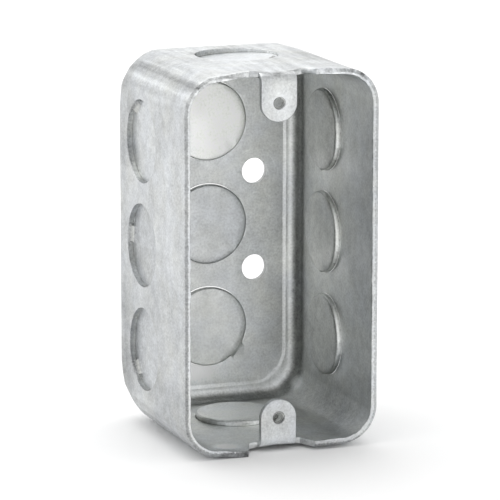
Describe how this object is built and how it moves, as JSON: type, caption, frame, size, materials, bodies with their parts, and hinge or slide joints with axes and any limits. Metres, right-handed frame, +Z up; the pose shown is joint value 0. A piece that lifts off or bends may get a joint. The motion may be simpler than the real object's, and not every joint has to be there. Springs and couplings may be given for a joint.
{
  "type": "handy box",
  "caption": "Drawn steel handy box for wiring, open at the front, with round corners, folded tapped ears for a device, offset back mounting holes and pushed-in knockouts.",
  "frame": {"origin": "on the surface it stands on, under the middle of the box, level with the lip of the lower end wall", "axes": "+Z up along the box's length, -Y out of the open front, +Y out of the back panel, +X to the right seen from the front"},
  "size_m": [0.054, 0.054, 0.1016],
  "materials": {
    "galvanised_steel": "galvanised, satin, faintly streaked and mottled"
  },
  "bodies": {
    "root": {"box": "galvanised_steel"}
  },
  "joints": []
}
